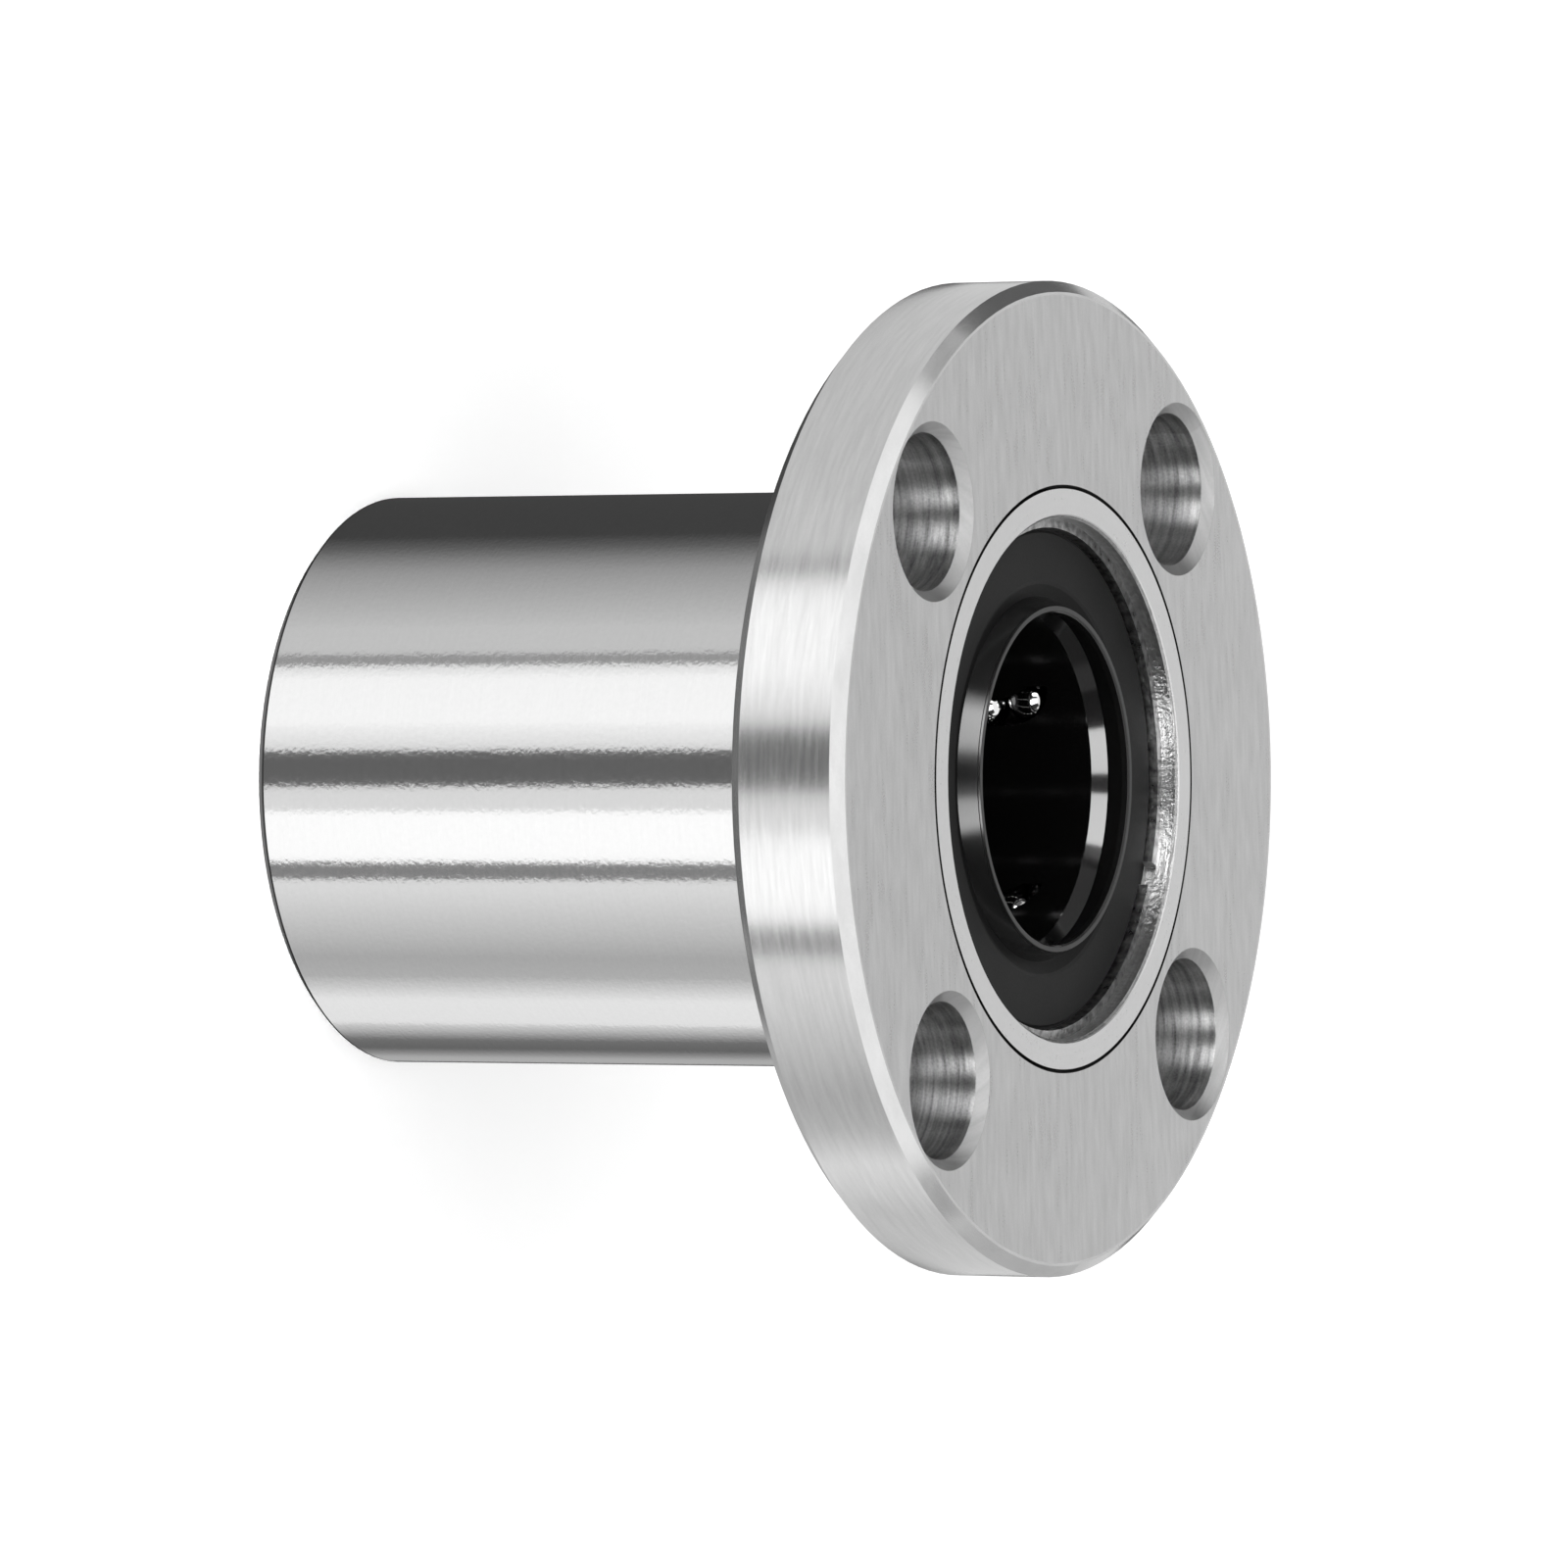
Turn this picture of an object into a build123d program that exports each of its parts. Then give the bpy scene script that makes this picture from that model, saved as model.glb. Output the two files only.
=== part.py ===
from build123d import *
from math import acos, cos, degrees, pi, radians, sin, sqrt
import os

# Flanged linear ball bearing, in millimetres.
# A hardened sleeve sits in a round flange. Inside it a moulded retainer holds five closed
# circuits of steel balls, and each end is shut by a lip seal behind a snap ring.
# +Z runs along the bore and out of the flange's front face. The origin is on the bore's
# axis, in the plane of the flange's back face, which seats on the machine.

# Shaft and overall length
shaft_diameter = 16.0
bearing_length = 37.0

# Balls and the circuits they run in
ball_diameter = 2.38
circuit_count = 5
balls_per_turn = 3
first_row_angle = 110.0  # where the first loaded row lies, counted from +X
turn_gap = 0.04  # left between neighbouring balls in a turn
return_rise = 1.61  # how much further from the axis the balls run back
raceway_clearance = 0.03  # ball to the sleeve's raceway
return_clearance = 0.11  # ball to the sleeve's return groove
track_clearance = 0.06  # ball to the retainer's track

# Sleeve
sleeve_wall = 1.9  # outside the return grooves
sleeve_end_chamfer = 0.4
raceway_end_chamfer = 0.3
seat_depth = 2.3  # from an end face to the shoulder behind the seal
seat_shoulder = 0.5  # step between the seal's seat and the end relief
seat_mouth_chamfer = 0.15
ring_groove_depth = 0.35
undercut_width = 0.6  # grinding relief behind the flange
undercut_depth = 0.2

# Retainer
retainer_bore_clearance = 0.2  # to the shaft
retainer_clearance = 0.16  # to the raceways
retainer_end_play = 0.1  # to each seal
retainer_end_wall = 0.9  # least wall beyond a turn
nose_length = 0.5  # collar that reaches into the seal
nose_wall = 0.6
nose_bevel = 0.4
nose_bevel_height = 0.7
nose_clearance = 0.15

# Seal
seal_clearance = 0.05  # to its seat
seal_face_rise = 0.22  # of the face above the rim that the snap ring holds
seal_rim_width = 0.62
seal_edge_bevel = 0.1
lip_clearance = 0.03  # to the shaft
lip_land = 0.3  # width of the lip's edge
lip_height = 0.78  # above the seal's face
lip_bevel = 0.1  # inside the lip's edge
lip_wall = 0.45  # at the lip's root
lip_spread = 0.35  # from the shaft out to the lip's root, on its inside
valley_width = 0.75  # shallow valley round the lip
valley_depth = 0.22

# Snap ring
ring_inset = 0.87  # below the end face
ring_thickness = 0.6
ring_width = 0.8
ring_seat_clearance = 0.02
ring_gap = 1.2
ring_gap_angle = 64.0

# Flange
flange_thickness = 6.0
flange_width = 10.0  # from the sleeve out to the rim
flange_front_chamfer = 0.55
flange_back_chamfer = 0.7
joint_groove_width = 0.16  # fine groove between flange and sleeve, open at the front
joint_groove_depth = 0.45
bolt_count = 4
bolt_angle = 45.0
bolt_hole_diameter = 4.5
counterbore_diameter = 7.5
counterbore_depth = 4.1
counterbore_chamfer = 0.5
chamfer_share = 0.45  # most that one chamfer takes of the wall between counterbore and rim

# Radii of the ball lines and of the surfaces that follow them
shaft_radius = shaft_diameter / 2
ball_radius = ball_diameter / 2
load_line_radius = shaft_radius + ball_radius
return_line_radius = load_line_radius + return_rise
raceway_radius = load_line_radius + ball_radius + raceway_clearance
return_groove_radius = ball_radius + return_clearance
relief_radius = return_line_radius + return_groove_radius
sleeve_radius = relief_radius + sleeve_wall
seat_radius = relief_radius + seat_shoulder
ring_groove_radius = seat_radius + ring_groove_depth
retainer_bore_radius = shaft_radius + retainer_bore_clearance
retainer_radius = raceway_radius - retainer_clearance
track_radius = ball_radius + track_clearance
flange_radius = sleeve_radius + flange_width
bolt_circle_radius = (sleeve_radius + flange_radius) / 2
counterbore_wall = flange_radius - bolt_circle_radius - counterbore_diameter / 2
widest_chamfer = counterbore_wall * chamfer_share

# Heights
front_z = flange_thickness
rear_z = front_z - bearing_length
middle_z = (front_z + rear_z) / 2
middle_plane = Plane.XY.offset(middle_z)
seat_z = front_z - seat_depth
ring_front_z = front_z - ring_inset
ring_back_z = ring_front_z - ring_thickness
seal_face_z = ring_back_z + seal_face_rise
retainer_end_z = seat_z - retainer_end_play
nose_z = retainer_end_z + nose_length

# One circuit: two straight rows joined by a half turn at each end. A turn holds a whole
# number of balls, and the rows take as many as the retainer has room for.
turn_radius = ball_diameter + turn_gap
ball_pitch = pi * turn_radius / balls_per_turn
row_room = 2 * (retainer_end_z - middle_z - retainer_end_wall - track_radius - turn_radius)
balls_per_row = int(row_room / ball_pitch)
row_length = balls_per_row * ball_pitch
row_end_z = middle_z + row_length / 2
row_spread = degrees(
    acos(
        (load_line_radius**2 + return_line_radius**2 - (2 * turn_radius) ** 2)
        / (2 * load_line_radius * return_line_radius)
    )
)
circuit_spacing = 360 / circuit_count


def circuit_plane(number):
    """Plane of one circuit: X from the loaded to the return row, Y along the bore."""
    load_angle = first_row_angle + number * circuit_spacing
    load_line = Vector(load_line_radius, 0, middle_z).rotate(Axis.Z, load_angle)
    return_line = Vector(return_line_radius, 0, middle_z).rotate(Axis.Z, load_angle + row_spread)
    across = return_line - load_line
    return Plane((load_line + return_line) / 2, x_dir=across, z_dir=across.cross(Vector(0, 0, 1)))


def write(part, name):
    """Label a finished piece and write it to its own file."""
    part.label = name
    export_step(part, f"parts/{name}.step")


os.makedirs("parts", exist_ok=True)

# Everything turned out of one end of the sleeve: ball relief, seal seat and ring groove
with BuildPart() as end_recess:
    with BuildSketch(Plane.XZ):
        with BuildLine():
            Polyline(
                (0, row_end_z),
                (raceway_radius, row_end_z),
                (raceway_radius + raceway_end_chamfer, row_end_z + raceway_end_chamfer),
                (relief_radius, row_end_z + raceway_end_chamfer),
                (relief_radius, seat_z),
                (seat_radius, seat_z),
                (seat_radius, ring_back_z),
                (ring_groove_radius, ring_back_z),
                (ring_groove_radius, ring_front_z),
                (seat_radius, ring_front_z),
                (seat_radius, front_z - seat_mouth_chamfer),
                (seat_radius + seat_mouth_chamfer, front_z),
                (0, front_z),
                close=True,
            )
        make_face()
    revolve(axis=Axis.Z)

# Sleeve: raceways on its bore, and a round-bottomed groove for each return row
with BuildPart() as outer_sleeve:
    with BuildSketch(Plane.XY.offset(rear_z)):
        Circle(sleeve_radius)
        Circle(raceway_radius, mode=Mode.SUBTRACT)
    extrude(amount=bearing_length)
    chamfer(outer_sleeve.edges().group_by(Axis.Z)[0].sort_by(SortBy.LENGTH)[-1], sleeve_end_chamfer)
    with BuildSketch(Plane.XY.offset(-undercut_width)):
        Circle(sleeve_radius)
        Circle(sleeve_radius - undercut_depth, mode=Mode.SUBTRACT)
    extrude(amount=undercut_width, mode=Mode.SUBTRACT)
    with BuildSketch(Plane.XY.offset(rear_z)):
        with PolarLocations(return_line_radius, circuit_count, first_row_angle + row_spread):
            Circle(return_groove_radius)
            with Locations((-return_groove_radius / 2, 0)):
                Rectangle(return_groove_radius, 2 * return_groove_radius)
    extrude(amount=bearing_length, mode=Mode.SUBTRACT)
    add(end_recess.part, mode=Mode.SUBTRACT)
    mirror(end_recess.part, about=middle_plane, mode=Mode.SUBTRACT)
write(outer_sleeve.part, "outer_sleeve")

# Flange: a ring round the sleeve, its face flush with the sleeve's end
with BuildPart() as flange:
    with BuildSketch():
        Circle(flange_radius)
        Circle(sleeve_radius, mode=Mode.SUBTRACT)
    extrude(amount=flange_thickness)
    chamfer(flange.edges().group_by(Axis.Z)[0].sort_by(SortBy.LENGTH)[-1], flange_back_chamfer)
    rim_edge = flange.edges().group_by(Axis.Z)[-1].sort_by(SortBy.LENGTH)[-1]
    chamfer(rim_edge, min(flange_front_chamfer, widest_chamfer))
    with BuildSketch(Plane.XY.offset(flange_thickness)):
        Circle(sleeve_radius + joint_groove_width)
    extrude(amount=-joint_groove_depth, mode=Mode.SUBTRACT)
    with Locations(Plane.XY.offset(flange_thickness)):
        with PolarLocations(bolt_circle_radius, bolt_count, bolt_angle):
            CounterBoreHole(bolt_hole_diameter / 2, counterbore_diameter / 2, counterbore_depth)
    hole_mouths = flange.edges().group_by(Axis.Z)[-1].sort_by(SortBy.LENGTH)[:bolt_count]
    chamfer(hole_mouths, min(counterbore_chamfer, widest_chamfer))
write(flange.part, "flange")

# The track of one circuit, as the core that would mould it: as wide as a ball and open
# outwards, with its floor edges bevelled, so that it breaks through to the bore only along
# the loaded row, by less than a ball's width
track_bevel = (2 - sqrt(2)) * track_radius
first_circuit = circuit_plane(0)
with BuildPart() as ball_track:
    with BuildSketch(first_circuit.offset(-track_radius)):
        SlotCenterToCenter(row_length, 2 * (turn_radius + track_radius), rotation=90)
        SlotCenterToCenter(
            row_length, 2 * (turn_radius - track_radius), rotation=90, mode=Mode.SUBTRACT
        )
    extrude(amount=track_radius + retainer_radius)
    track_floor = ball_track.faces().sort_by(Axis(first_circuit.origin, first_circuit.z_dir))[0]
    chamfer(track_floor.edges(), track_bevel)

# Retainer: a thin tube with a nose at each end and one endless track for each circuit
with BuildPart() as ball_retainer:
    with BuildSketch(Plane.XZ):
        with BuildLine():
            Polyline(
                (retainer_bore_radius, middle_z),
                (retainer_radius, middle_z),
                (retainer_radius, retainer_end_z),
                (retainer_bore_radius + nose_wall, retainer_end_z),
                (retainer_bore_radius + nose_wall, nose_z),
                (retainer_bore_radius + nose_bevel, nose_z),
                (retainer_bore_radius, nose_z - nose_bevel_height),
                close=True,
            )
        make_face()
    revolve(axis=Axis.Z)
    mirror(about=middle_plane)
    with PolarLocations(0, circuit_count):
        add(ball_track.part, mode=Mode.SUBTRACT)
write(ball_retainer.part, "ball_retainer")

# Seal: a rubber ring whose lip leans forwards and in, to wipe the shaft
lip_radius = shaft_radius + lip_clearance
lip_edge_z = seal_face_z + lip_height
lip_root_radius = lip_radius + lip_spread + lip_wall
nose_recess_radius = retainer_bore_radius + nose_wall + nose_clearance
nose_recess_z = nose_z + nose_clearance
with BuildPart() as front_seal:
    with BuildSketch(Plane.XZ):
        with BuildLine():
            Polyline(
                (nose_recess_radius, seat_z),
                (seat_radius - seal_clearance, seat_z),
                (seat_radius - seal_clearance, ring_back_z),
                (seat_radius - seal_rim_width, ring_back_z),
                (seat_radius - seal_rim_width, seal_face_z - seal_edge_bevel),
                (seat_radius - seal_rim_width - seal_edge_bevel, seal_face_z),
                (lip_root_radius + valley_width, seal_face_z),
                (lip_root_radius, seal_face_z - valley_depth),
                (lip_radius + lip_land, lip_edge_z),
                (lip_radius + lip_bevel, lip_edge_z),
                (lip_radius, lip_edge_z - lip_bevel),
                (lip_radius, lip_edge_z - lip_bevel - lip_land),
                (lip_radius + lip_spread, nose_recess_z),
                (nose_recess_radius, nose_recess_z),
                close=True,
            )
        make_face()
    revolve(axis=Axis.Z)
write(front_seal.part, "front_seal")

with BuildPart() as rear_seal:
    mirror(front_seal.part, about=middle_plane)
write(rear_seal.part, "rear_seal")

# Snap ring: sprung into its groove, in front of the seal's rim
ring_outer_radius = ring_groove_radius - ring_seat_clearance
with BuildPart() as front_snap_ring:
    with BuildSketch(Plane.XY.offset(ring_back_z)):
        Circle(ring_outer_radius)
        Circle(ring_outer_radius - ring_width, mode=Mode.SUBTRACT)
        with PolarLocations(ring_outer_radius, 1, ring_gap_angle):
            Rectangle(ring_outer_radius, ring_gap, mode=Mode.SUBTRACT)
    extrude(amount=ring_thickness)
write(front_snap_ring.part, "front_snap_ring")

with BuildPart() as rear_snap_ring:
    mirror(front_snap_ring.part, about=middle_plane)
write(rear_snap_ring.part, "rear_snap_ring")

# Balls: each circuit has a loaded row, a return row and the balls in its two turns
row_heights = [(ball - (balls_per_row - 1) / 2) * ball_pitch for ball in range(balls_per_row)]
turn_angles = [radians(180 * (ball + 0.5) / balls_per_turn) for ball in range(balls_per_turn)]
turn_places = [(turn_radius * cos(a), row_length / 2 + turn_radius * sin(a)) for a in turn_angles]
ball_groups = {
    "loaded_balls": [(-turn_radius, height) for height in row_heights],
    "return_balls": [(turn_radius, height) for height in row_heights],
    "front_turn_balls": turn_places,
    "rear_turn_balls": [(across, -height) for across, height in turn_places],
}

# With over a hundred of them, a ball is drawn with flat facets: a cube with its edges cut
# back until all its sides are equally long, and its corners on the ball's sphere
facet_side = ball_diameter / sqrt(5 + 2 * sqrt(2))
facet_cut = facet_side / sqrt(2)
cube_side = facet_side + 2 * facet_cut
with BuildPart() as ball:
    Box(cube_side, cube_side, cube_side)
    chamfer(ball.edges(), facet_cut)
for number in range(circuit_count):
    for group, places in ball_groups.items():
        with BuildPart(circuit_plane(number)) as balls:
            with Locations(*places):
                add(ball.part)
        write(balls.part, f"{group}_{number + 1}")
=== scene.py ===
import logging
from dataclasses import dataclass, field
from enum import Enum
from typing import Any

import bpy
import numpy as np
from mathutils import Matrix, Vector


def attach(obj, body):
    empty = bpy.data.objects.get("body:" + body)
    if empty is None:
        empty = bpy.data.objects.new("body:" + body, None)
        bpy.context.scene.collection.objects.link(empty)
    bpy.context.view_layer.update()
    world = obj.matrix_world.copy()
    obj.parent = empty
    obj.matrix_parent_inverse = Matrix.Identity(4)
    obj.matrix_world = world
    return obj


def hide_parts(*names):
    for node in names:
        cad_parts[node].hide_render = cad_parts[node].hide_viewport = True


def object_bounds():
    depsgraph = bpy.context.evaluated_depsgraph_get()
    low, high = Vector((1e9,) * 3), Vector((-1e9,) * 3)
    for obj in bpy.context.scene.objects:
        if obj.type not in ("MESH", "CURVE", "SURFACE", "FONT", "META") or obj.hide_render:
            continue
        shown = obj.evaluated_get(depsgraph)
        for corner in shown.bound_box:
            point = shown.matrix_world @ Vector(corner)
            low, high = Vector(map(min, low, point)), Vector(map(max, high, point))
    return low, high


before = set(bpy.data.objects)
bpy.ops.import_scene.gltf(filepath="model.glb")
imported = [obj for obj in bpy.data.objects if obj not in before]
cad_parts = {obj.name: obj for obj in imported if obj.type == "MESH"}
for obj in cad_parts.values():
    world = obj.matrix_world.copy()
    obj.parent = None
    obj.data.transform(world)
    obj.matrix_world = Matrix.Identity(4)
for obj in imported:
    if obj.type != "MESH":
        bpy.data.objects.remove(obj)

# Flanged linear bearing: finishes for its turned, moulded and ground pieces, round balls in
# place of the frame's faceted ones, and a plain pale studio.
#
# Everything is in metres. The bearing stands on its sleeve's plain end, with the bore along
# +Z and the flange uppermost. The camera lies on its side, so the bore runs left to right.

cad_low, cad_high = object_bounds()
log = logging.getLogger("bearing")

MM = 0.001
FLOOR_Z = cad_low[2]

Socket = bpy.types.NodeSocket
Level = Socket | float


class Ray(Enum):
    """Kinds of ray that Light Path tells apart."""

    CAMERA = "Is Camera Ray"
    GLOSSY = "Is Glossy Ray"
    TRANSMISSION = "Is Transmission Ray"


class BallGroup(Enum):
    """The four ball groups of a circuit, by the start of their nodes' names."""

    LOADED = "loaded_balls"
    RETURNING = "return_balls"
    FRONT_TURN = "front_turn_balls"
    REAR_TURN = "rear_turn_balls"


class Zone(Enum):
    """Parts of a piece whose finish differs from the rest of it. Some of them carry painted shade, and the
    seal's land a painted highlight.
    """

    END = "End"
    INSIDE = "Inside"
    RIM = "Rim"
    HOLE = "Hole"
    MOUTH = "Mouth"
    JOINT = "Joint"
    VALLEY = "Valley"
    COLLAR = "Collar"
    LAND = "Land"
    THROAT = "Throat"
    NOSE = "Nose"


# Node helpers


class NodeBoard:
    """Adds nodes and links to one material, world or node group."""

    def __init__(self, tree: bpy.types.NodeTree) -> None:
        """Start on a tree.

        Args:
            tree: The node tree to work on.
        """
        self.tree = tree

    def feed(self, node: bpy.types.Node, inputs: dict[str | int, Any]) -> None:
        """Set or connect inputs of a node.

        Args:
            node: The node.
            inputs: Socket values, or the output sockets that feed them.
        """
        for socket, value in inputs.items():
            if isinstance(value, Socket):
                self.tree.links.new(value, node.inputs[socket])
            else:
                node.inputs[socket].default_value = value

    def add(self, kind: str, inputs: dict[str | int, Any] | None = None, **settings: Any) -> bpy.types.Node:
        """Add a node, set it up and connect it.

        Args:
            kind: The node's type name.
            inputs: Socket values, or the output sockets that feed them.
            **settings: Properties of the node itself.

        Returns:
            The new node.
        """
        node = self.tree.nodes.new(kind)
        for name, value in settings.items():
            setattr(node, name, value)
        self.feed(node, inputs or {})
        return node

    def math(self, operation: str, *values: Level) -> Socket:
        """Result of a Math node on some values."""
        return self.add("ShaderNodeMath", dict(enumerate(values)), operation=operation).outputs[0]

    def vector(self, operation: str, inputs: dict[str | int, Any]) -> Socket:
        """Vector result of a Vector Math node with these inputs."""
        return self.add("ShaderNodeVectorMath", inputs, operation=operation).outputs[0]

    def parts(self, vector: Socket) -> tuple[Socket, ...]:
        """The three parts of a vector."""
        return tuple(self.add("ShaderNodeSeparateXYZ", {0: vector}).outputs)

    def length(self, across: Socket, upward: Socket) -> Socket:
        """Length of a flat vector with these two parts."""
        flat = self.add("ShaderNodeCombineXYZ", {0: across, 1: upward}).outputs[0]
        return self.add("ShaderNodeVectorMath", {0: flat}, operation="LENGTH").outputs["Value"]

    def above(self, value: Socket, limit: float) -> Socket:
        """Mask that is 1 where a value is over a limit."""
        return self.math("GREATER_THAN", value, limit)

    def below(self, value: Socket, limit: float) -> Socket:
        """Mask that is 1 where a value is under a limit."""
        return self.math("LESS_THAN", value, limit)

    def both(self, first: Socket, second: Socket) -> Socket:
        """Mask that is 1 where two masks are."""
        return self.math("MULTIPLY", first, second)

    def mix(self, mask: Level, under: Level, over: Level) -> Socket:
        """Value that goes from one to another as a mask goes from 0 to 1."""
        return self.add("ShaderNodeMix", {0: mask, 2: under, 3: over}).outputs[0]

    def spread(self, mask: Socket, low: float, high: float) -> Socket:
        """Value that runs evenly from low to high as a mask goes from 0 to 1."""
        return self.add("ShaderNodeMapRange", {"Value": mask, "To Min": low, "To Max": high}).outputs[0]

    def vary(self, value: Level, mask: Socket, shares: tuple[float, float]) -> Socket:
        """Value times a share that runs between two limits with a mask."""
        return self.math("MULTIPLY", value, self.spread(mask, *shares))

    def noise(self, place: Socket, scale: Level, detail: float = 3.0) -> Socket:
        """Noise, 0 to 1, at a place."""
        return self.add("ShaderNodeTexNoise", {"Vector": place, "Scale": scale, "Detail": detail}).outputs[0]

    def grey(self, level: Socket) -> Socket:
        """Grey colour of a level."""
        return self.add("ShaderNodeCombineColor", {0: level, 1: level, 2: level}).outputs[0]


class GroupBoard(NodeBoard):
    """Adds nodes and links to a new shader node group of its own."""

    def __init__(self, name: str, inputs: dict[str, float], outputs: list[str]) -> None:
        """Make the empty group.

        Args:
            name: The group's name.
            inputs: Its number inputs and their defaults.
            outputs: Its number outputs.
        """
        super().__init__(bpy.data.node_groups.new(name, "ShaderNodeTree"))
        for title, value in inputs.items():
            socket = self.tree.interface.new_socket(title, in_out="INPUT", socket_type="NodeSocketFloat")
            socket.default_value = value
        for title in outputs:
            self.tree.interface.new_socket(title, in_out="OUTPUT", socket_type="NodeSocketFloat")
        self.given = self.add("NodeGroupInput").outputs
        self.result = self.add("NodeGroupOutput")


def new_material(name: str) -> tuple[bpy.types.Material, NodeBoard]:
    """Make a material with no nodes yet.

    Args:
        name: Its name.

    Returns:
        The material and its board.
    """
    material = bpy.data.materials.new(name)
    material.use_nodes = True
    material.node_tree.nodes.clear()
    return material, NodeBoard(material.node_tree)


def new_object(name: str, data: bpy.types.ID) -> bpy.types.Object:
    """Put a new object into the scene.

    Args:
        name: Its name.
        data: Its mesh, lamp or camera.

    Returns:
        The object.
    """
    thing = bpy.data.objects.new(name, data)
    bpy.context.scene.collection.objects.link(thing)
    return thing


def turning_marks() -> bpy.types.NodeTree:
    """Fine rings that a lathe or grinder leaves round an axis along Z.

    The pattern is noise over the point's direction round the bore, and over its distance
    from the axis plus its height, so that it makes rings on faces, walls and chamfers alike.

    Returns:
        A group that takes Distance (from the axis), Rings (per metre) and Breaks (how often
        a ring fades on its way round) and gives Mark, 0 to 1.
    """
    rings_up_walls = 1.6  # to one ring across a face
    board = GroupBoard("turning_marks", {"Distance": 0.0, "Rings": 9000.0, "Breaks": 6.0}, ["Mark"])
    place = board.add("ShaderNodeTexCoord").outputs["Object"]
    away = board.vector("NORMALIZE", {0: board.vector("MULTIPLY", {0: place, 1: (1, 1, 0)})})
    turn_x, turn_y, _ = board.parts(board.vector("SCALE", {0: away, "Scale": board.given["Breaks"]}))
    up = board.math("MULTIPLY", board.parts(place)[2], rings_up_walls)
    rings = board.math("MULTIPLY", board.math("ADD", board.given["Distance"], up), board.given["Rings"])
    where = board.add("ShaderNodeCombineXYZ", {"X": turn_x, "Y": turn_y, "Z": rings}).outputs[0]
    board.feed(board.result, {"Mark": board.noise(where, 1.0, detail=2.0)})
    return board.tree


@dataclass(frozen=True)
class ZoneMap:
    """Borders of the zones, in metres; heights count from the middle of the bearing."""

    middle: float = (cad_low[2] + cad_high[2]) / 2
    end_height: float = 18.45 * MM
    inside_radius: float = 12.95 * MM
    rim_radius: float = 23.3 * MM
    bolt_offset: float = 13.435 * MM
    hole_radius: float = 3.85 * MM
    hole_height: float = 18.02 * MM
    mouth_radius: float = 4.27 * MM
    joint_radius: float = 14.08 * MM
    joint_half_width: float = 0.095 * MM
    joint_height: float = 18.0 * MM
    valley_radius: float = 9.4 * MM
    collar_radius: float = 8.83 * MM
    land_height: float = 18.0 * MM
    throat_radius: float = 8.4 * MM
    throat_height: float = 17.92 * MM
    nose_height: float = 15.85 * MM

    def group(self) -> bpy.types.NodeTree:
        """Build the masks of all zones.

        Returns:
            A group that gives one mask for each zone, 0 or 1, and Distance: from the axis of
            the nearest bolt hole on a hole's wall, and from the bore's axis elsewhere.
        """
        board = GroupBoard("bearing_zones", {}, [zone.value for zone in Zone] + ["Distance"])
        across, upward, z = board.parts(board.add("ShaderNodeTexCoord").outputs["Object"])
        radius = board.length(across, upward)
        height = board.math("ABSOLUTE", board.math("SUBTRACT", z, self.middle))
        folded = [board.math("ABSOLUTE", way) for way in (across, upward)]
        from_hole = board.length(*[board.math("SUBTRACT", way, self.bolt_offset) for way in folded])
        in_hole = board.below(from_hole, self.hole_radius)
        in_mouth = board.below(from_hole, self.mouth_radius)
        off_joint = board.math("ABSOLUTE", board.math("SUBTRACT", radius, self.joint_radius))
        on_joint = board.below(off_joint, self.joint_half_width)
        in_throat = board.below(radius, self.throat_radius)
        masks = {
            Zone.END: board.above(height, self.end_height),
            Zone.INSIDE: board.below(radius, self.inside_radius),
            Zone.RIM: board.above(radius, self.rim_radius),
            Zone.HOLE: board.both(in_hole, board.below(height, self.hole_height)),
            Zone.MOUTH: board.both(in_mouth, board.above(height, self.hole_height)),
            Zone.JOINT: board.both(on_joint, board.above(height, self.joint_height)),
            Zone.VALLEY: board.below(radius, self.valley_radius),
            Zone.COLLAR: board.below(radius, self.collar_radius),
            Zone.LAND: board.above(height, self.land_height),
            Zone.THROAT: board.both(in_throat, board.below(height, self.throat_height)),
            Zone.NOSE: board.above(height, self.nose_height),
        }
        board.feed(board.result, {zone.value: mask for zone, mask in masks.items()})
        board.feed(board.result, {"Distance": board.mix(masks[Zone.HOLE], radius, from_hole)})
        return board.tree


def surface_speckle() -> bpy.types.NodeTree:
    """Fine grain, a broad, faint unevenness, and the lines of a straight grinding pass.

    The lines are noise stretched along X.

    Returns:
        A group that takes Grain (per metre) and gives Fine, Broad and Lines, 0 to 1.
    """
    broad_grain = 220.0  # per metre
    line_grain = (450.0, 2600.0, 2600.0)  # per metre along X, Y and Z
    board = GroupBoard("surface_speckle", {"Grain": 9000.0}, ["Fine", "Broad", "Lines"])
    place = board.add("ShaderNodeTexCoord").outputs["Object"]
    board.feed(board.result, {
        "Fine": board.noise(place, board.given["Grain"]),
        "Broad": board.noise(place, broad_grain),
        "Lines": board.noise(board.vector("MULTIPLY", {0: place, 1: line_grain}), 1.0),
    })
    return board.tree


# Finishes


@dataclass(frozen=True)
class Patch:
    """What one zone of a piece has of its own.

    These are its tone, its roughness, how strongly its marks show, the share of straight
    lines in them in place of rings, and the weight of its gloss coat.
    """

    zone: Zone
    tone: float
    roughness: float
    marks: float = 1.0
    straight: float = 0.0
    coat: float = 0.0


@dataclass(frozen=True)
class Groups:
    """The node groups that the finishes share."""

    marks: bpy.types.NodeTree
    speckle: bpy.types.NodeTree
    zones: bpy.types.NodeTree


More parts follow.
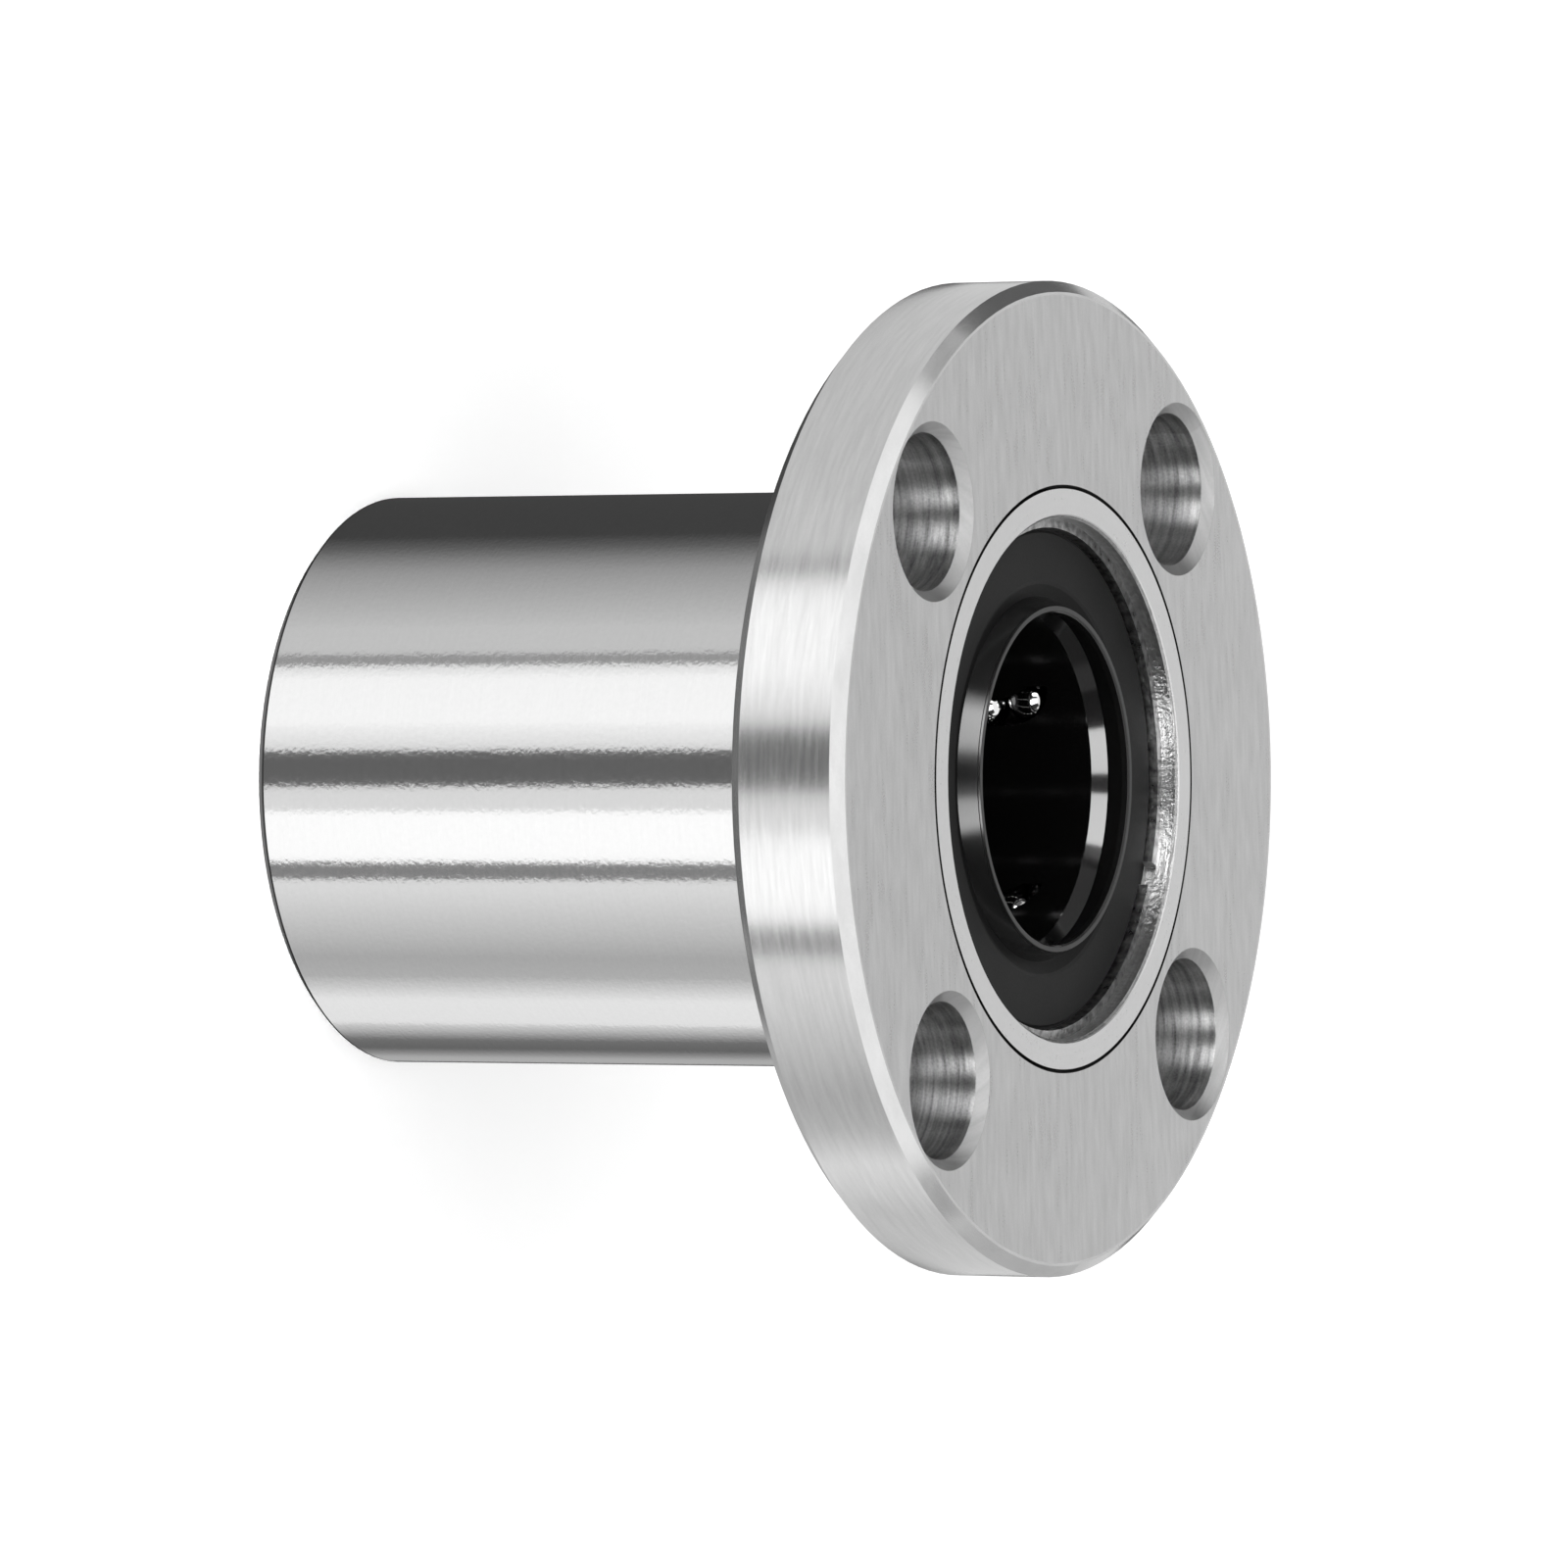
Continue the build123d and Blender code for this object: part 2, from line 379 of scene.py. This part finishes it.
@dataclass(frozen=True)
class Finish:
    """What every finish has: a name, a tone, a roughness and its patches."""

    name: str
    tone: float
    roughness: float
    patches: tuple[Patch, ...] = field(default=(), kw_only=True)

    def begin(self) -> tuple[bpy.types.Material, NodeBoard, bpy.types.Node]:
        """Start the material.

        Returns:
            The material, its board and its Principled BSDF.
        """
        material, board = new_material(self.name)
        shader = board.add("ShaderNodeBsdfPrincipled")
        board.add("ShaderNodeOutputMaterial", {"Surface": shader.outputs[0]})
        return material, board, shader

    def patched(self, board: NodeBoard, zones: bpy.types.Node, title: str, start: float) -> Level:
        """Value of one property over the piece, with each patch laid over the last.

        Args:
            board: The material's board.
            zones: Its bearing_zones node.
            title: The property's name in a patch.
            start: Its value outside every patch.

        Returns:
            A socket, or the value itself where there is no patch.
        """
        value = start
        for patch in self.patches:
            value = board.mix(zones.outputs[patch.zone.value], value, getattr(patch, title))
        return value


@dataclass(frozen=True)
class MachinedSteel(Finish):
    """Ground or turned steel with rings round the bore's axis, or with straight lines.

    Rings and grain are counted per metre. The marks move the tone by the contrast each way,
    and are grooves of groove_depth. Turned walls nearer to the bore's axis than fan_radius
    fan a reflection out along it.
    """

    rings: float
    breaks: float
    contrast: float
    groove_depth: float
    grain: float = 9000.0
    grain_share: float = 0.3
    broad_share: float = 0.3
    rough_shares: tuple[float, float] = (0.6, 1.4)
    straight: float = 0.0
    fan: float = 0.0
    fan_radius: float = 0.0
    wall_slant: float = 0.5
    fan_axis: tuple[float, float, float] = (0.02, 0.01, 1.0)

    def add_fan(self, board: NodeBoard, shader: bpy.types.Node) -> None:
        """Stretch the reflections of the inner walls along the bore's axis.

        A wall is where the normal's part along Z is under wall_slant. The fan's axis leans a
        little, so that it lies along no face's normal.

        Args:
            board: The material's board.
            shader: Its Principled BSDF.
        """
        here = board.add("ShaderNodeTexCoord").outputs
        slant = board.math("ABSOLUTE", board.parts(here["Normal"])[2])
        radius = board.length(*board.parts(here["Object"])[:2])
        inner = board.both(board.below(slant, self.wall_slant), board.below(radius, self.fan_radius))
        axis = board.add("ShaderNodeCombineXYZ", dict(enumerate(self.fan_axis))).outputs[0]
        board.feed(shader, {"Anisotropic": board.math("MULTIPLY", inner, self.fan), "Tangent": axis})

    def material(self, groups: Groups) -> bpy.types.Material:
        """Build the steel.

        Args:
            groups: The shared node groups.

        Returns:
            The material.
        """
        material, board, shader = self.begin()
        zones = board.add("ShaderNodeGroup", node_tree=groups.zones)
        turning = {"Distance": zones.outputs["Distance"], "Rings": self.rings, "Breaks": self.breaks}
        ring = board.add("ShaderNodeGroup", turning, node_tree=groups.marks).outputs["Mark"]
        dust = board.add("ShaderNodeGroup", {"Grain": self.grain}, node_tree=groups.speckle).outputs
        straight = self.patched(board, zones, "straight", self.straight)
        mixed = board.mix(self.grain_share, board.mix(straight, ring, dust["Lines"]), dust["Fine"])
        marks = self.patched(board, zones, "marks", 1.0)
        offset = board.math("MULTIPLY", board.math("SUBTRACT", mixed, 0.5), marks)
        share = board.math("MULTIPLY_ADD", offset, 2.0 * self.contrast, 1.0)
        tone = self.patched(board, zones, "tone", self.tone)
        rough = self.patched(board, zones, "roughness", self.roughness)
        uneven = board.mix(self.broad_share, mixed, dust["Broad"])
        grooves = board.add("ShaderNodeBump", {"Distance": self.groove_depth, "Height": offset})
        board.feed(shader, {
            "Base Color": board.grey(board.math("MULTIPLY", tone, share)),
            "Metallic": 1.0,
            "Roughness": board.vary(rough, uneven, self.rough_shares),
            "Normal": grooves.outputs[0],
        })
        if self.fan:
            self.add_fan(board, shader)
        return material


@dataclass(frozen=True)
class MouldedSurface(Finish):
    """Moulded rubber or resin: a dark body with a fine grain, and a gloss coat on patches.

    The grain is counted per metre. It varies the roughness, and a broad unevenness the tone.
    """

    grain: float
    grain_depth: float
    index: float
    coat_index: float
    coat_roughness: float
    grain_strength: float = 0.4
    tone_shares: tuple[float, float] = (0.7, 1.3)
    rough_shares: tuple[float, float] = (0.85, 1.15)

    def material(self, groups: Groups) -> bpy.types.Material:
        """Build the moulding.

        Args:
            groups: The shared node groups.

        Returns:
            The material.
        """
        material, board, shader = self.begin()
        zones = board.add("ShaderNodeGroup", node_tree=groups.zones)
        dust = board.add("ShaderNodeGroup", {"Grain": self.grain}, node_tree=groups.speckle).outputs
        tone = self.patched(board, zones, "tone", self.tone)
        rough = self.patched(board, zones, "roughness", self.roughness)
        depth = {"Strength": self.grain_strength, "Distance": self.grain_depth, "Height": dust["Fine"]}
        board.feed(shader, {
            "Base Color": board.grey(board.vary(tone, dust["Broad"], self.tone_shares)),
            "Roughness": board.vary(rough, dust["Fine"], self.rough_shares),
            "IOR": self.index,
            "Normal": board.add("ShaderNodeBump", depth).outputs[0],
            "Coat Weight": self.patched(board, zones, "coat", 0.0),
            "Coat Roughness": self.coat_roughness,
            "Coat IOR": self.coat_index,
        })
        return material


@dataclass(frozen=True)
class PolishedSteel(Finish):
    """Polished ball steel with a trace of unevenness."""

    tone_shares: tuple[float, float] = (0.94, 1.06)
    rough_shares: tuple[float, float] = (0.7, 1.3)

    def material(self, groups: Groups) -> bpy.types.Material:
        """Build the ball's steel.

        Args:
            groups: The shared node groups.

        Returns:
            The material.
        """
        material, board, shader = self.begin()
        dust = board.add("ShaderNodeGroup", node_tree=groups.speckle).outputs
        board.feed(shader, {
            "Base Color": board.grey(board.vary(self.tone, dust["Broad"], self.tone_shares)),
            "Metallic": 1.0,
            "Roughness": board.vary(self.roughness, dust["Fine"], self.rough_shares),
        })
        return material


class FinishShop:
    """Makes each finish of this bearing once."""

    def __init__(self) -> None:
        """Build the shared groups and the finishes."""
        groups = Groups(turning_marks(), surface_speckle(), ZoneMap().group())
        joint = Patch(Zone.JOINT, 0.03, 0.6)
        self.sleeve = MachinedSteel(
            "ground_sleeve_steel", tone=0.80, roughness=0.09, rings=5000.0, breaks=5.0, contrast=0.05,
            groove_depth=6.0e-6, grain=4200.0, grain_share=0.6, fan=0.92, fan_radius=12.95 * MM, patches=(
                # The sleeve's inner walls are painted far darker than its outside: painted shade inside the
                # bore.
                Patch(Zone.INSIDE, 0.37, 0.35, marks=13.0),
                Patch(Zone.END, 0.74, 0.30, marks=1.2),
                joint,
            ),
        ).material(groups)
        self.flange = MachinedSteel(
            "turned_flange_steel", tone=0.60, roughness=0.30, rings=2600.0, breaks=9.0, contrast=0.26,
            groove_depth=1.0e-6, straight=1.0, fan=0.92, fan_radius=23.0 * MM, patches=(
                Patch(Zone.RIM, 0.78, 0.17, marks=0.6),
                Patch(Zone.MOUTH, 0.47, 0.36),
                # The bolt holes' walls are painted darker than the face: painted shade inside the holes.
                Patch(Zone.HOLE, 0.40, 0.34, marks=5.0),
                joint,
            ),
        ).material(groups)
        self.ring = MachinedSteel(
            "spring_ring_steel", tone=0.35, roughness=0.30, rings=5000.0, breaks=12.0, contrast=1.4,
            groove_depth=60.0e-6, grain=2600.0, grain_share=0.85,
        ).material(groups)
        self.ball = PolishedSteel("polished_ball_steel", tone=0.84, roughness=0.05).material(groups)
        self.resin = MouldedSurface(
            "retainer_resin", tone=0.004, roughness=0.14, grain=5000.0, grain_depth=6.0e-6, index=1.45,
            coat_index=2.5, coat_roughness=0.10, patches=(Patch(Zone.NOSE, 0.004, 0.10, coat=1.0),),
        ).material(groups)
        self.rubber = MouldedSurface(
            "seal_rubber", tone=0.013, roughness=0.5, grain=9000.0, grain_depth=3.0e-6, index=1.18,
            coat_index=1.45, coat_roughness=0.15, patches=(
                # The hollow round the lip, the lip's collar under its gloss coat, and its throat are painted
                # near black: painted shade in the hollow and inside the bore.
                Patch(Zone.VALLEY, 0.003, 0.5),
                Patch(Zone.COLLAR, 0.003, 0.5, coat=1.0),
                # The lip's top land is painted lighter: a painted highlight along the lip's edge.
                Patch(Zone.LAND, 0.06, 0.4),
                Patch(Zone.THROAT, 0.003, 0.5),
            ),
        ).material(groups)


# The bearing


@dataclass
class BearingShell:
    """The still pieces, which keep the frame's own shapes."""

    shop: FinishShop

    def finishes(self) -> dict[str, bpy.types.Material]:
        """Finish of each still node."""
        return {
            "outer_sleeve": self.shop.sleeve,
            "flange": self.shop.flange,
            "ball_retainer": self.shop.resin,
            "front_snap_ring": self.shop.ring,
            "rear_snap_ring": self.shop.ring,
            "front_seal": self.shop.rubber,
            "rear_seal": self.shop.rubber,
        }

    def dress(self) -> list[bpy.types.Object]:
        """Lay the finishes on the still nodes.

        Returns:
            The dressed nodes.
        """
        dressed = []
        for name, material in self.finishes().items():
            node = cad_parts[name]
            for slot in node.material_slots:
                slot.material = material
            dressed.append(node)
        return dressed


@dataclass
class RoundBalls:
    """True spheres in the places of the frame's faceted balls.

    Corners of a faceted ball that are the same to merge_digits decimals are one.
    """

    shop: FinishShop
    ball_radius: float = 1.19 * MM
    circuits: int = 5
    meridians: int = 28
    parallels: int = 16
    merge_digits: int = 7

    def sphere(self) -> tuple[np.ndarray, np.ndarray]:
        """One ball: a point on it lies at the ball's radius, at a longitude and a latitude.

        Returns:
            Points (n, 3) and triangles (m, 3) of a closed sphere round the origin.
        """
        latitudes = np.linspace(-np.pi / 2, np.pi / 2, self.parallels + 1)[1:-1]
        longitudes = np.arange(self.meridians) * 2 * np.pi / self.meridians
        lat, lon = np.meshgrid(latitudes, longitudes, indexing="ij")
        rows = np.stack((np.cos(lat) * np.cos(lon), np.cos(lat) * np.sin(lon), np.sin(lat)), axis=-1)
        points = np.vstack((rows.reshape(-1, 3), [[0, 0, -1], [0, 0, 1]])) * self.ball_radius
        row, column = np.meshgrid(np.arange(self.parallels - 2), np.arange(self.meridians), indexing="ij")
        here = row * self.meridians + column
        beside = row * self.meridians + (column + 1) % self.meridians
        lower = np.stack((here, beside, beside + self.meridians), axis=-1).reshape(-1, 3)
        upper = np.stack((here, beside + self.meridians, here + self.meridians), axis=-1).reshape(-1, 3)
        column = np.arange(self.meridians)
        after = (column + 1) % self.meridians
        last = (self.parallels - 2) * self.meridians
        south = np.stack((np.full_like(column, len(points) - 2), after, column), axis=-1)
        north = np.stack((np.full_like(column, len(points) - 1), last + column, last + after), axis=-1)
        return points, np.vstack((lower, upper, south, north))

    def centres(self, node: bpy.types.Object) -> np.ndarray:
        """Middle of each loose ball in a node.

        Corners in one place are taken as one, then every corner takes the lowest number among
        its neighbours until nothing changes, so each ball ends with one number of its own.

        Args:
            node: The CAD node of a ball group.

        Returns:
            The centres (n, 3).
        """
        mesh = node.data
        corners = np.empty(len(mesh.vertices) * 3)
        mesh.vertices.foreach_get("co", corners)
        corners = corners.reshape(-1, 3).round(self.merge_digits)
        places, number = np.unique(corners, axis=0, return_inverse=True)
        edges = np.empty(len(mesh.edges) * 2, dtype=np.int64)
        mesh.edges.foreach_get("vertices", edges)
        edges = number.reshape(-1)[edges].reshape(-1, 2)
        label = np.arange(len(places))
        while True:
            lowest = label.copy()
            np.minimum.at(lowest, edges[:, 0], label[edges[:, 1]])
            np.minimum.at(lowest, edges[:, 1], label[edges[:, 0]])
            if np.array_equal(lowest, label):
                break
            label = lowest
        _, ball = np.unique(label, return_inverse=True)
        count = np.bincount(ball)
        return np.stack([np.bincount(ball, places[:, axis]) / count for axis in range(3)], axis=-1)

    def build_group(self, name: str) -> bpy.types.Object:
        """Build one ball group and put it in its node's place.

        Each ball is the one sphere, moved to a centre.

        Args:
            name: The node's name, which is its body's name too.

        Returns:
            The new piece.
        """
        points, triangles = self.sphere()
        middles = self.centres(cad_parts[name])
        all_points = (middles[:, None, :] + points[None, :, :]).reshape(-1, 3)
        steps = np.arange(len(middles)) * len(points)
        all_triangles = (triangles[None, :, :] + steps[:, None, None]).reshape(-1, 3)
        mesh = bpy.data.meshes.new(f"round_{name}")
        mesh.from_pydata(all_points, [], all_triangles)
        mesh.polygons.foreach_set("use_smooth", np.ones(len(all_triangles), dtype=bool))
        mesh.materials.append(self.shop.ball)
        piece = new_object(f"round_{name}", mesh)
        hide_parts(name)
        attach(piece, name)
        return piece

    def build(self) -> list[bpy.types.Object]:
        """Build every ball group of every circuit.

        Returns:
            The new pieces.
        """
        numbers = range(1, self.circuits + 1)
        return [self.build_group(f"{group.value}_{number}") for number in numbers for group in BallGroup]


# The studio

# Distances from the bearing's axis at which the cards stand, and heights at which rows meet,
# in metres.
FAR = 0.7
NEAR = 0.06
FOOT = -0.8
WAIST = -0.075
SIDE_TOP = 0.283
SOFTBOX_TOP = 0.36
BAND_TOP = 0.472


@dataclass(frozen=True)
class Card:
    """One strip of the surround: where it starts and ends, and its levels there.

    Angles are in degrees round the bearing, from the camera's side, growing towards the
    camera's upper edge.
    """

    start: float
    end: float
    start_level: float
    end_level: float


@dataclass(frozen=True)
class CardRow:
    """Cards side by side, between a lower and an upper edge (distance, height) in metres."""

    low: tuple[float, float]
    high: tuple[float, float]
    cards: tuple[Card, ...]


@dataclass
class Surround:
    """Pale and dark cards round the bearing that the steel reflects, unseen by the camera."""

    camera_azimuth: float
    degrees_per_step: float = 2.0
    rows: tuple[CardRow, ...] = (
        # The ground far below.
        CardRow((0.01, FOOT), (FAR, FOOT), (Card(-180, 180, 0.2, 0.2),)),
        # Low, all round: the sleeve and the rim mirror these as their bright and dark bands.
        CardRow((FAR, FOOT), (FAR, WAIST), (
            Card(-180, -167, 0.10, 0.10),
            Card(-167, -118, 0.70, 0.60),
            Card(-118, -100, 0.60, 0.85),
            Card(-100, -88, 0.92, 0.56),
            Card(-88, -76, 0.52, 0.47),
            Card(-76, -40.3, 0.47, 0.90),
            Card(-40.3, -33.3, 0.24, 0.24),
            Card(-33.3, -12.5, 1.22, 1.22),
            Card(-12.5, -2.5, 0.84, 0.86),
            Card(-2.5, 11.5, 0.14, 0.13),
            Card(11.5, 22, 0.85, 1.08),
            Card(22, 42, 1.14, 1.12),
            Card(42, 46.8, 1.05, 0.90),
            Card(46.8, 51.5, 0.32, 0.34),
            Card(51.5, 80, 0.66, 0.62),
            Card(80, 167, 0.62, 0.66),
            Card(167, 180, 0.10, 0.10),
        )),
        # In front: two softboxes with soft ends, for the walls and edges inside the bore.
        CardRow((FAR, WAIST), (FAR, SOFTBOX_TOP), (
            Card(-62, -36, 0.03, 0.03),
            Card(-36, -30, 0.03, 13.0),
            Card(-30, -14, 13.0, 13.0),
            Card(-14, -9, 13.0, 0.03),
            Card(-9, 14, 0.03, 0.03),
            Card(14, 22, 0.03, 13.0),
            Card(22, 44, 13.0, 13.0),
            Card(44, 56, 13.0, 0.03),
            Card(56, 62, 0.03, 0.03),
        )),
        # Above them: two dimmer cards.
        CardRow((FAR, SOFTBOX_TOP), (FAR, 0.78), (
            Card(-62, -35, 0.04, 0.04),
            Card(-35, -3.6, 2.6, 2.6),
            Card(-3.6, 10, 0.08, 0.08),
            Card(10, 46, 2.6, 2.6),
            Card(46, 62, 0.04, 0.04),
        )),
        # The sides, below what the flange's face mirrors.
        CardRow((FAR, WAIST), (FAR, SIDE_TOP), (
            Card(-158, -115, 0.5, 0.5),
            Card(-115, -62, 0.05, 0.05),
            Card(62, 158, 0.12, 0.12),
        )),
        # Behind and at the sides, at the height that the flange's face mirrors.
        CardRow((FAR, SIDE_TOP), (FAR, BAND_TOP), (Card(-202, -158, 0.62, 0.62),)),
        CardRow((FAR, 0.300), (FAR, 0.440), (Card(-158, -92, 0.4, 0.4), Card(92, 158, 0.4, 0.4))),
        CardRow((FAR, SIDE_TOP), (FAR, BAND_TOP), (Card(-92, -62, 0.12, 0.12), Card(62, 92, 0.12, 0.12))),
        CardRow((FAR, BAND_TOP), (FAR, 0.8), (Card(-202, -158, 0.62, 0.62),)),
        # Close by, below the flange, where only the sleeve mirrors them.
        CardRow((NEAR, -0.09), (NEAR, -0.024), (
            Card(58, 74.6, 0.62, 0.45),
            Card(74.6, 83.6, 0.45, 0.36),
            Card(83.6, 90.3, 0.36, 0.25),
            Card(90.3, 97.4, 0.25, 0.128),
            Card(97.4, 105.4, 0.128, 0.056),
            Card(105.4, 166, 0.056, 0.056),
            Card(-155, -142.8, 0.45, 0.45),
            Card(-142.8, -129.3, 0.45, 0.14),
            Card(-129.3, -119.7, 0.14, 0.18),
            Card(-119.7, -106.5, 0.18, 0.75),
            Card(-106.5, -89.7, 0.92, 0.95),
            Card(-89.7, -78.7, 0.92, 0.56),
        )),
    )

    def build(self) -> bpy.types.Object:
        """Build the surround.

        A card is a grid over the angle round the bearing and its row's two edges: a point
        lies at the edge's distance and height, at the camera's azimuth less the card's
        angle. Its level runs evenly from the card's start to its end.

        Returns:
            The surround, one mesh with a level at each point.
        """
        points, faces, levels = [], [], []
        first = 0
        for row in self.rows:
            for card in row.cards:
                steps = max(2, int(np.ceil((card.end - card.start) / self.degrees_per_step)) + 1)
                share = np.linspace(0, 1, steps)
                angle = np.radians(self.camera_azimuth - (card.start + share * (card.end - card.start)))
                for distance, height in (row.low, row.high):
                    edge = np.column_stack((np.cos(angle), np.sin(angle))) * distance
                    points.append(np.column_stack((edge, np.full(steps, height))))
                    levels.append(card.start_level + share * (card.end_level - card.start_level))
                low = first + np.arange(steps - 1)
                faces.append(np.stack((low, low + 1, low + steps + 1, low + steps), axis=-1))
                first += 2 * steps
        mesh = bpy.data.meshes.new("surround_cards")
        mesh.from_pydata(np.vstack(points), [], np.vstack(faces))
        level = mesh.attributes.new("level", "FLOAT", "POINT")
        level.data.foreach_set("value", np.concatenate(levels))
        mesh.materials.append(self.material())
        surround = new_object("surround_cards", mesh)
        surround.visible_camera = False
        surround.visible_diffuse = False
        surround.visible_shadow = False
        surround.visible_transmission = False
        return surround

    def material(self) -> bpy.types.Material:
        """Glow of each card by its own level.

        Returns:
            The material.
        """
        material, board = new_material("surround_glow")
        level = board.add("ShaderNodeAttribute", attribute_name="level")
        glow = board.add("ShaderNodeEmission", {"Color": level.outputs["Color"], "Strength": 1.0})
        board.add("ShaderNodeOutputMaterial", {"Surface": glow.outputs[0]})
        return material


@dataclass
class Studio:
    """Floor, world, lamp, camera and surround.

    The lens and the sensor are in millimetres. camera_right and camera_up are the picture's
    right and up in the scene. The world is at world_level as a light, and at world_seen for
    what looks or mirrors straight at it. The lamp's power is in watts.
    """

    lens: float = 262.04
    sensor: float = 36.0
    camera_place: tuple[float, float, float] = (-30.3946 * MM, -493.7286 * MM, 246.2390 * MM)
    camera_right: tuple[float, float, float] = (0.029484, 0.458011, 0.888457)
    camera_up: tuple[float, float, float] = (-0.998052, 0.062394, 0.000956)
    floor_half: float = 4.0
    floor_paint: tuple[float, float, float, float] = (0.85, 0.85, 0.85, 1.0)
    floor_lift: float = 0.36
    white: tuple[float, float, float, float] = (1.0, 1.0, 1.0, 1.0)
    world_level: float = 0.8
    world_seen: float = 1.0
    lamp_place: tuple[float, float, float] = (-0.05, -0.36, 0.72)
    lamp_side: float = 0.6
    lamp_power: float = 1.5

    def add_camera(self) -> None:
        """Place the camera and make it the scene's."""
        right, up = Vector(self.camera_right).normalized(), Vector(self.camera_up)
        back = right.cross(up).normalized()
        up = back.cross(right)
        data = bpy.data.cameras.new("view_camera")
        data.lens = self.lens
        data.sensor_width = self.sensor
        data.sensor_height = self.sensor
        camera = new_object("view_camera", data)
        turn = Matrix((right, up, back)).transposed().to_4x4()
        camera.matrix_world = Matrix.Translation(Vector(self.camera_place)) @ turn
        bpy.context.scene.camera = camera

    def add_floor(self) -> bpy.types.Object:
        """Lay the pale floor, which metal doesn't mirror but on which shadows fall.

        The camera sees it a little lighter than its paint.

        Returns:
            The floor.
        """
        low, high = -self.floor_half, self.floor_half
        corners = [(low, low, FLOOR_Z), (high, low, FLOOR_Z), (high, high, FLOOR_Z), (low, high, FLOOR_Z)]
        mesh = bpy.data.meshes.new("studio_floor")
        mesh.from_pydata(corners, [], [(0, 1, 2, 3)])
        material, board = new_material("floor_paint")
        paint = board.add("ShaderNodeBsdfDiffuse", {"Color": self.floor_paint})
        seen = board.add("ShaderNodeLightPath").outputs[Ray.CAMERA.value]
        strength = board.math("MULTIPLY", seen, self.floor_lift)
        lift = board.add("ShaderNodeEmission", {"Color": self.white, "Strength": strength})
        both = board.add("ShaderNodeAddShader", {0: paint.outputs[0], 1: lift.outputs[0]})
        board.add("ShaderNodeOutputMaterial", {"Surface": both.outputs[0]})
        mesh.materials.append(material)
        floor = new_object("studio_floor", mesh)
        floor.visible_glossy = False
        floor.visible_shadow = False
        return floor

    def add_world(self) -> None:
        """Light the scene evenly, and show white behind it."""
        world = bpy.data.worlds.new("studio_world")
        world.use_nodes = True
        world.node_tree.nodes.clear()
        board = NodeBoard(world.node_tree)
        path = board.add("ShaderNodeLightPath").outputs
        seen = board.math("MAXIMUM", path[Ray.CAMERA.value], path[Ray.GLOSSY.value])
        seen = board.math("MAXIMUM", seen, path[Ray.TRANSMISSION.value])
        strength = board.spread(seen, self.world_level, self.world_seen)
        light = board.add("ShaderNodeBackground", {"Color": self.white, "Strength": strength})
        board.add("ShaderNodeOutputWorld", {"Surface": light.outputs[0]})
        bpy.context.scene.world = world

    def add_lamp(self) -> None:
        """Hang a square soft lamp that faces the bearing."""
        data = bpy.data.lights.new("key_softbox", "AREA")
        data.shape = "SQUARE"
        data.size = self.lamp_side
        data.energy = self.lamp_power
        lamp = new_object("key_softbox", data)
        place = Vector(self.lamp_place)
        lamp.matrix_world = Matrix.Translation(place) @ place.to_track_quat("Z", "Y").to_matrix().to_4x4()
        lamp.visible_glossy = False

    def build(self) -> list[bpy.types.Object]:
        """Build the whole studio.

        Returns:
            Its floor and its surround.
        """
        bpy.context.scene.view_settings.view_transform = "Standard"
        self.add_camera()
        floor = self.add_floor()
        self.add_world()
        azimuth = float(np.degrees(np.arctan2(self.camera_place[1], self.camera_place[0])))
        surround = Surround(azimuth).build()
        self.add_lamp()
        return [floor, surround]


def main() -> None:
    """Dress the bearing, build its studio and report each piece."""
    logging.basicConfig(level=logging.INFO, format="%(name)s: %(message)s")
    shop = FinishShop()
    for piece in BearingShell(shop).dress() + RoundBalls(shop).build() + Studio().build():
        finish = piece.material_slots[0].material.name
        log.info("%s: %d faces, %s", piece.name, len(piece.data.polygons), finish)


if __name__ == "__main__":
    main()
